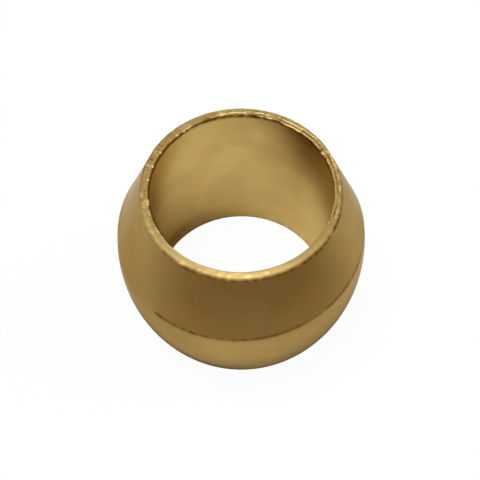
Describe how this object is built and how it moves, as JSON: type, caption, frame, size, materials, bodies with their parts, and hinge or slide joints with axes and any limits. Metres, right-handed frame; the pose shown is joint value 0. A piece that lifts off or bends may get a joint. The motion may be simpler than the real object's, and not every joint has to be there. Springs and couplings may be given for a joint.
{
  "type": "compression ferrule",
  "caption": "Turned brass compression ferrule: a short sleeve with a straight tube bore, thin flat ends, a rounded crown below and a long straight seating cone above.",
  "frame": {"origin": "centre of the lower end face, which the ferrule stands on", "axes": "+Z along the bore axis, from the crowned end towards the end of the seating cone; X and Y are any two directions across it"},
  "size_m": [0.0084, 0.0084, 0.0065],
  "materials": {
    "brass": "turned and tumbled brass with a soft dull sheen, fine turning lines and a lightly burred upper rim"
  },
  "bodies": {
    "root": {"ferrule": "brass"}
  },
  "joints": []
}
